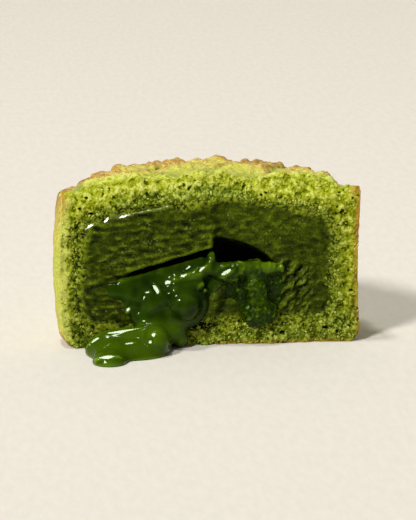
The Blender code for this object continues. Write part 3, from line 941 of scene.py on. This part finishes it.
def crumb_places(chance):
    """Pick places on the crust's cut face and its top edge where a crumb sticks."""
    x = chance.uniform(-RADIUS, RADIUS, CRUMB_TRIES)
    z = chance.uniform(0.3, CROWN_HEIGHT, CRUMB_TRIES)
    side = np.where(x > 0, 0.0, math.pi)
    top = flower_height(np.minimum(abs(x), FLOWER_RADIUS), side)
    top = np.where(abs(x) < MOAT_RADIUS, top, RIM_HEIGHT)
    from_skin = np.minimum(half_width(side, z) - abs(x), top - z - 0.5)
    from_filling = outside_cavity(flat_points(x, z) + (0, CUT_Y, 0))
    wanted = 0.10 + 0.25 * blend(1.2, 0, from_skin) + 0.35 * blend(1.2, 0, abs(from_filling))
    wanted += 0.25 * blend(6, 2, z) * blend(-4, 2, x)
    on_crust = (from_skin > 0.1) & (from_filling > -1.0)
    kept = np.flatnonzero(on_crust & (chance.random(CRUMB_TRIES) < wanted))[:MOST_CRUMBS]
    return flat_points(x, z)[kept], from_filling[kept]


def make_crumbs():
    """Join small uneven crumbs that stick to the cut face of the crust."""
    chance = np.random.default_rng(7)
    ball = bmesh.new()
    bmesh.ops.create_icosphere(ball, subdivisions=2, radius=1.0)
    shape = np.array([vertex.co[:] for vertex in ball.verts])
    corners = np.array([[vertex.index for vertex in face.verts] for face in ball.faces])
    ball.free()
    flat, from_filling = crumb_places(chance)
    count = len(flat)
    size = 0.5 * (0.22 + 0.38 * chance.random(count) ** 3)
    centre = flat.copy()
    centre[:, 1] = crust_cut(flat) + 0.35 * (from_filling < 0) + 0.25 * size
    stretch = size[:, None] * chance.uniform(0.6, 1.35, (count, 3))
    lumps = clouds(shape + 10 * chance.random((count, 1, 3)), 0.9, 121)
    points = shape * stretch[:, None] * (1 + 0.6 * lumps[..., None]) + centre[:, None]
    faces = corners + len(shape) * np.arange(count)[:, None, None]
    crumbs = make_piece("crumbs", points.reshape(-1, 3), faces.reshape(-1, 3).tolist(), slots=1)
    shade = np.repeat(chance.uniform(0.45, 1.0, count), len(shape))
    # The crumbs take the crust's wetness and its painted shade low down.
    damp_and_shade = moisture(flat + (0, CUT_Y, 0)) * chance.uniform(0.3, 1.0, count)
    mark(crumbs, tone=shade, moist=np.repeat(damp_and_shade, len(shape)), browning=0 * shade)
    return crumbs


# ---- the paste

def turned(flat, degrees, stretch):
    """Turn places of the cut and squeeze them along the new first direction."""
    x, z = flat[..., 0], flat[..., 2]
    c, s = math.cos(math.radians(degrees)), math.sin(math.radians(degrees))
    return flat_points((x * c + z * s) / stretch, z * c - x * s)


def knife_drag(flat):
    """The knife's marks: rising streaks on the slab, and arcs round the hollow."""
    x, z = flat[..., 0] - HOLLOW_CENTRE[0], flat[..., 2] - HOLLOW_CENTRE[1]
    ringed = flat_points(2.2 * np.arctan2(z, x), np.hypot(x, 1.25 * z))
    right = blend(-1, 2, flat[..., 0])
    relief = 0.060 * layered(flat, 0.42, 77, 2)
    for places, share in ((turned(flat, 9, 6), 1 - right), (ringed, right)):
        relief += share * DRAG_RELIEF * layered(places, 0.9, 73, roughness=0.65)
        distance, number = grains(places * (2.2, 1, 1), 0.6, 79)
        relief += share * STREAK_DEPTH * (number > 0.80) * np.clip(1 - distance / 0.5, 0, 1)
    return relief


def paste_face(flat):
    """The filling's cut face: y, share of crumb and wetness at places of the cut."""
    x, _, z = np.moveaxis(flat, -1, 0)
    wander = 0.30 * clouds(flat, 2.2, 71)
    over_edge = blend(-SLAB_STEP, SLAB_STEP, above_slab_edge(x, z) + 0.5 * wander)
    bend = 1.2 * blend(19, 23, z)
    step = SLAB_STEP + 2.5 * blend(18, 23, z)
    slab = 1 - blend(-1, 1, (x + wander + bend - SLAB_RIGHT) / step)
    melting = 0.5 * blend(-10, -17, x) * blend(17, 12, z)
    y = CUT_Y + PASTE_INSET - SLAB_PROUD * (1 - melting) * over_edge * slab
    y += 0.5 * TEAR_DEPTH * old_noise(flat * (1, 1, 2) / CRUMB_SIZE) + knife_drag(flat)
    # The slab's top edge, over which the paste falls back.
    edge = np.max([z - high - slope * (x - start) for start, high, slope in SLAB_TOP], axis=0)
    edge += 0.5 * wander
    broken = blend(-0.25, 0.10, clouds(flat, 3.5, 89))
    wet = np.exp(-((edge + 0.10) / 0.30) ** 2) * slab * broken
    y += SLAB_FALL * blend(-0.1, 0.5, edge) * slab - SLAB_RIDGE * wet
    # Torn paste low on the right, in flaps that rise to the right.
    torn = blend(7.5, 10, x) * blend(15, 12, z) * blend(19, 15, x)
    y += torn * (FLAP_RELIEF * layered(turned(flat, 48, 3), 1.0, 83, roughness=0.65) + 0.25)
    # Crumb that sticks to the paste along the bottom and next to the crust.
    low = blend(5.6, 3.8, z) * blend(-4, 0, x)
    rim = blend(1.5, 0.1, 1.5 * wander - outside_cavity(flat + (0, CUT_Y, 0)))
    crumbs = np.maximum(low, rim)
    y += crumbs * (crust_cut(flat) + crumb_relief(flat) - y)
    return y, crumbs, wet


def thin_out(filling):
    """Make the filling's mesh coarser where the crust hides it."""
    points = points_of(filling)
    behind = (outside_cavity(points) > -0.05) & (points[:, 1] > CUT_Y + 1.5)
    hidden = filling.vertex_groups.new(name="hidden")
    hidden.add(np.flatnonzero(behind).tolist(), 1.0, "REPLACE")
    coarser = filling.modifiers.new("coarser", "DECIMATE")
    coarser.vertex_group = "hidden"
    coarser.ratio = 1 - 0.9 * behind.mean()
    apply_modifiers(filling)


def mark_filling(filling, across, up, layers):
    """Mark the paste's lightness, with painted shade in its hollows and deep in the pocket, and
    where crumb sticks to it and oil wets it.
    """
    points = points_of(filling)
    x, y, z = points.T
    face, proud, crumbs, wet = look_up(np.stack(layers, -1), across, up, points).T
    at_face = blend(1.2, 0.4, y - face)
    lit = 0.14 * blend(16, 21, z) * blend(0, 4, x)
    # Painted shade: darker in the hollows of the knife marks, lighter where they stand out.
    relief = (0.34 - 0.14 * blend(-1, 3, x)) * proud / 0.12
    # Painted shade: the paste darkens the further it lies behind the cut face.
    tone = (0.5 + lit + relief + 0.15 * layered(points, 2.5, 91)) * blend(3.0, 0.6, y - face)
    mark(filling, tone=np.clip(tone, 0, 1), crumbs=crumbs * at_face)
    oily = wet * at_face > 0.35
    for gleam in PASTE_GLEAMS:
        oily |= add_gleam(filling, KEY_FROM, *gleam)
    give_second_slot(filling, oily)


def make_filling():
    """Build the paste in the crust, with its rough face and the pocket behind the slab."""
    across = np.arange(-22.6, 21.6, PASTE_CELL)
    up = np.arange(FLOOR_THICKNESS - 0.8, CAVITY_TOP + 0.8, PASTE_CELL)
    depths = [CUT_Y - 2.2]
    while depths[-1] < CUT_Y + 22:
        depths.append(depths[-1] + max(PASTE_CELL, 0.10 * (depths[-1] - CUT_Y - 0.5)))
    axes = (across, np.array(depths), up)
    place = np.meshgrid(*axes, indexing="ij", sparse=True)
    flat = flat_points(*np.meshgrid(across, up))
    face, crumbs, wet = paste_face(flat)
    field = barrel_field(place) - 0.25 - edge_wander(flat).T[:, None]
    field = smooth_max(field, face.T[:, None] - place[1], 0.2)
    field = smooth_max(field, -pocket_field(place), 0.35)
    ragged = face.T[:, None] - CUT_Y - PASTE_INSET
    lump = smooth_min(ball_field(place, *PASTE_LUMP), strand_field(place, PASTE_STRAND), 0.8)
    field = smooth_min(field, lump + 0.7 * ragged, 0.3)
    for smear in PASTE_SMEARS:
        field = smooth_min(field, ball_field(place, *smear) + 0.3 * ragged, 1.0)
    filling = surface_net("filling_fine", field, axes)
    thin_out(filling)
    mark_filling(filling, across, up, (face, box_blur(face, 5) - face, crumbs, wet))
    return filling


# ---- the cream

def cream_field(place):
    """The pool, its folds over the cut, the blob at the foot and the run."""
    x, y, z = place
    field = ball_field(place, POCKET_CENTRE, POCKET_RADII)
    for limit in (z - CREAM_LEVEL, CUT_Y + CREAM_BACK_SET - y):
        field = smooth_max(field, limit, CREAM_ROUNDING)
    for ball in CREAM_SWELLINGS:
        field = smooth_min(field, ball_field(place, *ball), CREAM_ROUNDING)
    for strand in THIN_FOLDS + THICK_FOLDS:
        field = smooth_min(field, strand_field(place, strand), FOLD_ROUNDING)
    run = strand_field((x, y, z * RUN_FLATNESS), CREAM_RUN)
    field = smooth_min(field, run, RUN_ROUNDING)
    field = smooth_max(field, -ball_field(place, *CREAM_PIT), CREAM_ROUNDING)
    return smooth_max(field, 0.02 - z, 0.2)


def make_cream():
    """Build the cream, wavy and with its gleams, and mark its painted glow."""
    axes = [np.arange(low, high, CREAM_CELL) for low, high in CREAM_SPACE]
    field = cream_field(np.meshgrid(*axes, indexing="ij", sparse=True))
    cream = surface_net("cream_fine", field, axes)
    points = smoothed(cream, 8)
    right = blend(0, 3, points[:, 0])
    hanging = right * blend(12.5, 11, points[:, 2])
    waves = CREAM_SWELL * layered(points, 3.0, 101, 2)
    waves += CREAM_LUMPS * right * layered(points, 1.4, 107)
    waves += CREAM_FROTH * hanging * layered(points, 0.6, 109, 2)
    raise_surface(cream, points, waves * blend(0.1, 0.8, points[:, 2]))
    points = points_of(cream)
    for light, gleams in ((KEY_FROM, CREAM_KEY_GLEAMS), (SOFTBOX_PLACE, CREAM_SOFTBOX_GLEAMS)):
        for gleam in gleams:
            add_gleam(cream, light, *gleam)
    # Painted glow: brighter green on narrow folds, on ridges that stand out and over the foot blob's
    # top, standing in for light through and on the cream.
    near_fold = np.min([strand_field(points.T, strand) for strand in THIN_FOLDS], axis=0)
    thin = blend(0.30, -0.35, near_fold) * (0.6 + 0.4 * clouds(points, 1.5, 103))
    proud = blend(0.02, 0.25, convexity(cream, 40))
    painted_foot_light = 0.20 * blend(-13.8, -15.5, points[:, 1]) * blend(6, 4, points[:, 2])
    mark(cream, thin=np.clip(thin + 0.8 * proud + painted_foot_light, 0, 1))
    give_second_slot(cream, hanging > 0.5)
    return cream


# ---- materials

class Graph:
    """The nodes of a material or world, with short calls for those that are used often."""

    def __init__(self, block):
        self.block = block
        block.use_nodes = True
        self.tree = block.node_tree

    def feed(self, socket, value):
        if isinstance(value, bpy.types.NodeSocket):
            self.tree.links.new(value, socket)
        elif socket.type == "RGBA":
            socket.default_value = (*value, 1)
        else:
            socket.default_value = value

    def node(self, kind, inputs, output=0, **settings):
        made = self.tree.nodes.new("ShaderNode" + kind)
        for key, value in settings.items():
            setattr(made, key, value)
        for key, value in inputs.items():
            self.feed(made.inputs[key], value)
        return made.outputs[output]

    def attribute(self, name):
        return self.node("Attribute", {}, "Fac", attribute_name=name)

    def place(self):
        return self.node("TexCoord", {}, "Object")

    def noise(self, size, detail=3.0, stretch=None):
        place = self.place()
        if stretch:
            place = self.node("Mapping", {"Vector": place, "Scale": stretch})
        inputs = {"Vector": place, "Scale": 1 / (size * MM), "Detail": detail, "Roughness": 0.55}
        return self.node("TexNoise", inputs, "Fac")

    def cells(self, size):
        colour = self.node("TexVoronoi", {"Vector": self.place(), "Scale": 1 / (size * MM)}, "Color")
        return self.node("SeparateColor", {0: colour})

    def math(self, operation, a, b, clamp=False):
        return self.node("Math", {0: a, 1: b}, operation=operation, use_clamp=clamp)

    def swing(self, value, amount):
        """Turn a value from 0 to 1 into one from minus to plus half the amount."""
        return self.math("MULTIPLY", self.math("SUBTRACT", value, 0.5), amount)

    def span(self, value, low, high, to_low=0.0, to_high=1.0):
        ends = {"From Min": low, "From Max": high, "To Min": to_low, "To Max": to_high}
        return self.node("MapRange", {"Value": value, **ends}, interpolation_type="SMOOTHSTEP")

    def ramp(self, value, *stops):
        """Colours between stops, each a place from 0 to 1 and its red, green and blue."""
        colour = self.node("ValToRGB", {"Fac": value})
        elements = colour.node.color_ramp.elements
        while len(elements) < len(stops):
            elements.new(0.5)
        for element, (place, *rgb) in zip(elements, stops):
            element.position = place
            element.color = (*rgb, 1)
        return colour

    def mix(self, share, a, b, blend_type="MIX"):
        inputs = {0: share, 6: a, 7: b}
        return self.node("Mix", inputs, 2, data_type="RGBA", blend_type=blend_type)

    def shade(self, colour, light):
        return self.mix(1.0, colour, light, "MULTIPLY")

    def bump(self, height, strength, depth):
        return self.node("Bump", {"Height": height, "Strength": strength, "Distance": depth * MM})

    def finish(self, colour, roughness, **more):
        surface = self.tree.nodes["Principled BSDF"].inputs
        for key, value in {"Base Color": colour, "Roughness": roughness, **more}.items():
            self.feed(surface[key.replace("_", " ")], value)
        return self.block


def new_material(name):
    """Start a material."""
    return Graph(bpy.data.materials.new(name))


def skin_material():
    """The baked skin: yellow-green, sandy, turning ochre and brown where it baked longest, with
    painted shade in its grooves.
    """
    g = new_material("baked_skin")
    level = g.math("ADD", g.attribute("browning"), g.swing(g.noise(4.0), 0.7))
    level = g.math("ADD", level, g.swing(g.cells(0.33), 0.24), clamp=True)
    colour = g.ramp(
        level,
        (0.00, 0.45, 0.51, 0.045),
        (0.28, 0.54, 0.54, 0.062),
        (0.52, 0.49, 0.37, 0.052),
        (0.74, 0.42, 0.21, 0.033),
        (1.00, 0.25, 0.11, 0.015),
    )
    grain = g.noise(0.30, 2.0)
    colour = g.shade(colour, g.span(grain, 0.32, 0.68, 0.72, 1.20))
    pale = g.math("MULTIPLY", g.span(g.cells(0.34), 0.66, 0.92), 0.38)
    colour = g.mix(pale, colour, (0.74, 0.70, 0.27))
    # Painted shade in the grooves, partly their own greener colour.
    colour = g.mix(g.math("MULTIPLY", g.attribute("crease"), 0.72), colour, (0.13, 0.18, 0.010))
    roughness = g.span(g.noise(1.5), 0.2, 0.8, 0.62, 0.85)
    return g.finish(colour, roughness, Normal=g.bump(grain, 0.7, 0.10))


def crumb_material():
    """The baked inside: green crumb, with painted light at the grains' tips and painted shade in the
    pores and low down.
    """
    g = new_material("cut_crumb")
    level = g.math("ADD", g.attribute("tone"), g.swing(g.noise(0.26, 2.0), 0.80), clamp=True)
    dry = g.ramp(
        level,
        (0.00, 0.020, 0.029, 0.0005),
        (0.25, 0.095, 0.125, 0.0020),
        (0.50, 0.235, 0.280, 0.0070),
        (0.75, 0.385, 0.425, 0.0280),
        (1.00, 0.570, 0.600, 0.1450),
    )
    moist = g.ramp(
        level,
        (0.00, 0.007, 0.012, 0.0005),
        (0.30, 0.034, 0.052, 0.0020),
        (0.60, 0.100, 0.145, 0.0060),
        (1.00, 0.360, 0.420, 0.0650),
    )
    # The wet ramp also paints shade on the crumb low down.
    colour = g.mix(g.attribute("moist"), dry, moist)
    colour = g.mix(g.attribute("browning"), colour, (0.42, 0.21, 0.030))
    return g.finish(colour, 0.8, Specular_IOR_Level=0.03)


def paste_material(oily):
    """The filling: dense dark green paste with pale specks, partly painted glints of oil, wet with
    oil in places.
    """
    g = new_material("oily_paste" if oily else "matcha_paste")
    drag = g.noise(0.45, stretch=(0.4, 1.0, 1.0))
    level = g.math("ADD", g.attribute("tone"), g.swing(drag, 0.5), clamp=True)
    colour = g.ramp(
        level,
        (0.00, 0.005, 0.009, 0.0001),
        (0.35, 0.023, 0.036, 0.0003),
        (0.65, 0.044, 0.066, 0.0007),
        (1.00, 0.110, 0.155, 0.0045),
    )
    colour = g.shade(colour, g.span(g.noise(0.22, 2.0), 0.30, 0.70, 0.55, 1.45))
    # Pale specks, partly painted glints of oil, mostly in patches.
    where = g.span(g.noise(4.0), 0.48, 0.62)
    speck_and_glint = g.math("MULTIPLY", g.span(g.cells(0.30), 0.90, 0.96), where)
    colour = g.mix(g.math("MULTIPLY", speck_and_glint, 0.45), colour, (0.20, 0.26, 0.05))
    crumbs = g.math("MULTIPLY", g.span(g.noise(0.5), 0.42, 0.60), g.attribute("crumbs"))
    colour = g.mix(crumbs, colour, (0.25, 0.30, 0.018))
    roughness = g.span(level, 0.0, 1.0, 0.10, 0.25) if oily else g.span(level, 0.3, 0.9, 0.60, 0.40)
    specular = 0.5 if oily else 0.06
    return g.finish(colour, roughness, Specular_IOR_Level=specular, Normal=g.bump(drag, 0.4, 0.10))


def cream_material(thick):
    """The molten centre: wet, very dark green, with a painted brighter green glow; duller if thick.
    """
    g = new_material("thick_cream" if thick else "molten_cream")
    dark, deep = (0.30, 0.005, 0.015, 0.0001), (0.70, 0.018, 0.043, 0.0003)
    # Painted glow: brighter green where the glow mark is.
    colour = g.mix(g.attribute("thin"), g.ramp(g.noise(3.0, 2.0), dark, deep), (0.140, 0.260, 0.003))
    if not thick:
        return g.finish(colour, 0.10, Specular_IOR_Level=0.13, Specular_Tint=(0.85, 1.0, 0.75))
    colour = g.shade(colour, g.span(g.noise(0.5, 2.0), 0.35, 0.65, 0.5, 1.2))
    return g.finish(colour, 0.25, Specular_IOR_Level=0.10, Specular_Tint=(0.85, 1.0, 0.70))


def wear(piece, materials, node=None):
    """Dress a piece, which is in metres from here on and may stand for a node."""
    piece.data.transform(Matrix.Scale(MM, 4))
    for place, material in enumerate(materials):
        piece.data.materials[place] = material
    piece.data.shade_smooth()
    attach(piece, "root")
    if node:
        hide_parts(node)


# ---- the setting

def make_floor():
    """Lay a pale floor that curves up behind into a backdrop."""
    profile = [(FLOOR_FRONT, 0.0), (BACKDROP_START, 0.0)]
    for sine, cosine in quarter_turn(16)[1:]:
        profile.append((BACKDROP_START + BACKDROP_BEND * sine, BACKDROP_BEND * (1 - cosine)))
    profile.append((BACKDROP_START + BACKDROP_BEND, BACKDROP_TOP))
    points = [(x, y, z) for y, z in profile for x in (-FLOOR_SIDE, FLOOR_SIDE)]
    faces = [(2 * i, 2 * i + 1, 2 * i + 3, 2 * i + 2) for i in range(len(profile) - 1)]
    floor = make_piece("floor", points, faces, slots=1)
    g = new_material("cream_paper")
    weave = g.noise(1.2, 2.0, (1.0, 0.3, 1.0))
    colour = g.ramp(weave, (0.3, 0.67, 0.64, 0.575), (0.7, 0.71, 0.678, 0.61))
    floor.data.materials[0] = g.finish(colour, 0.9)
    floor.data.shade_smooth()


def add_light(name, kind, place, **settings):
    """Hang a light that looks at the object."""
    light = bpy.data.lights.new(name, kind)
    light.color = (1.0, 0.98, 0.95)
    for key, value in settings.items():
        setattr(light, key, value)
    lamp = add_object(name, light)
    lamp.location = place
    lamp.rotation_euler = (-place).to_track_quat("-Z", "Y").to_euler()


def make_lights():
    """A key light and a softbox from the left, and a dimmer light from behind."""
    add_light("key", "SUN", KEY_FROM, energy=KEY_LIGHT, angle=KEY_WIDTH)
    add_light("behind", "SUN", BACK_FROM, energy=BACK_LIGHT, angle=BACK_WIDTH)
    size = dict(zip(("size", "size_y"), SOFTBOX_SIZE))
    add_light("softbox", "AREA", SOFTBOX_PLACE, energy=SOFTBOX_LIGHT, shape="RECTANGLE", **size)


def make_room():
    """Light everything from a pale room that is dim at the front."""
    g = Graph(bpy.data.worlds.new("room"))
    bpy.context.scene.world = g.block
    depth = g.node("SeparateXYZ", {0: g.node("TexCoord", {}, "Generated")}, "Y")
    ends = {"From Min": -0.8, "From Max": 0.2, "To Min": ROOM_FRONT, "To Max": ROOM_LIGHT}
    background = g.tree.nodes["Background"].inputs
    g.feed(background["Color"], (0.95, 0.92, 0.86))
    g.feed(background["Strength"], g.node("MapRange", {"Value": depth, **ends}))


def make_camera():
    """Stand the camera where the photo's stood, turned to the half and with a longer lens."""
    lens = bpy.data.cameras.new("camera")
    lens.sensor_width = SENSOR
    lens.lens = CLOSER * PHOTO_FOCAL * SENSOR / PHOTO_HEIGHT
    lens.clip_start = 0.01
    camera = add_object("camera", lens)
    camera.location = camera_place()
    camera.rotation_mode = "QUATERNION"
    camera.rotation_quaternion = camera_ray(WINDOW_CENTRE).to_track_quat("-Z", "Y")
    bpy.context.scene.camera = camera


bpy.context.scene.view_settings.view_transform = "Standard"
make_camera()
make_lights()
make_room()
make_floor()
crumb = crumb_material()
wear(make_crust(), (skin_material(), crumb), "crust")
wear(make_crumbs(), (crumb,))
wear(make_filling(), (paste_material(False), paste_material(True)), "filling")
wear(make_cream(), (cream_material(False), cream_material(True)), "lava")
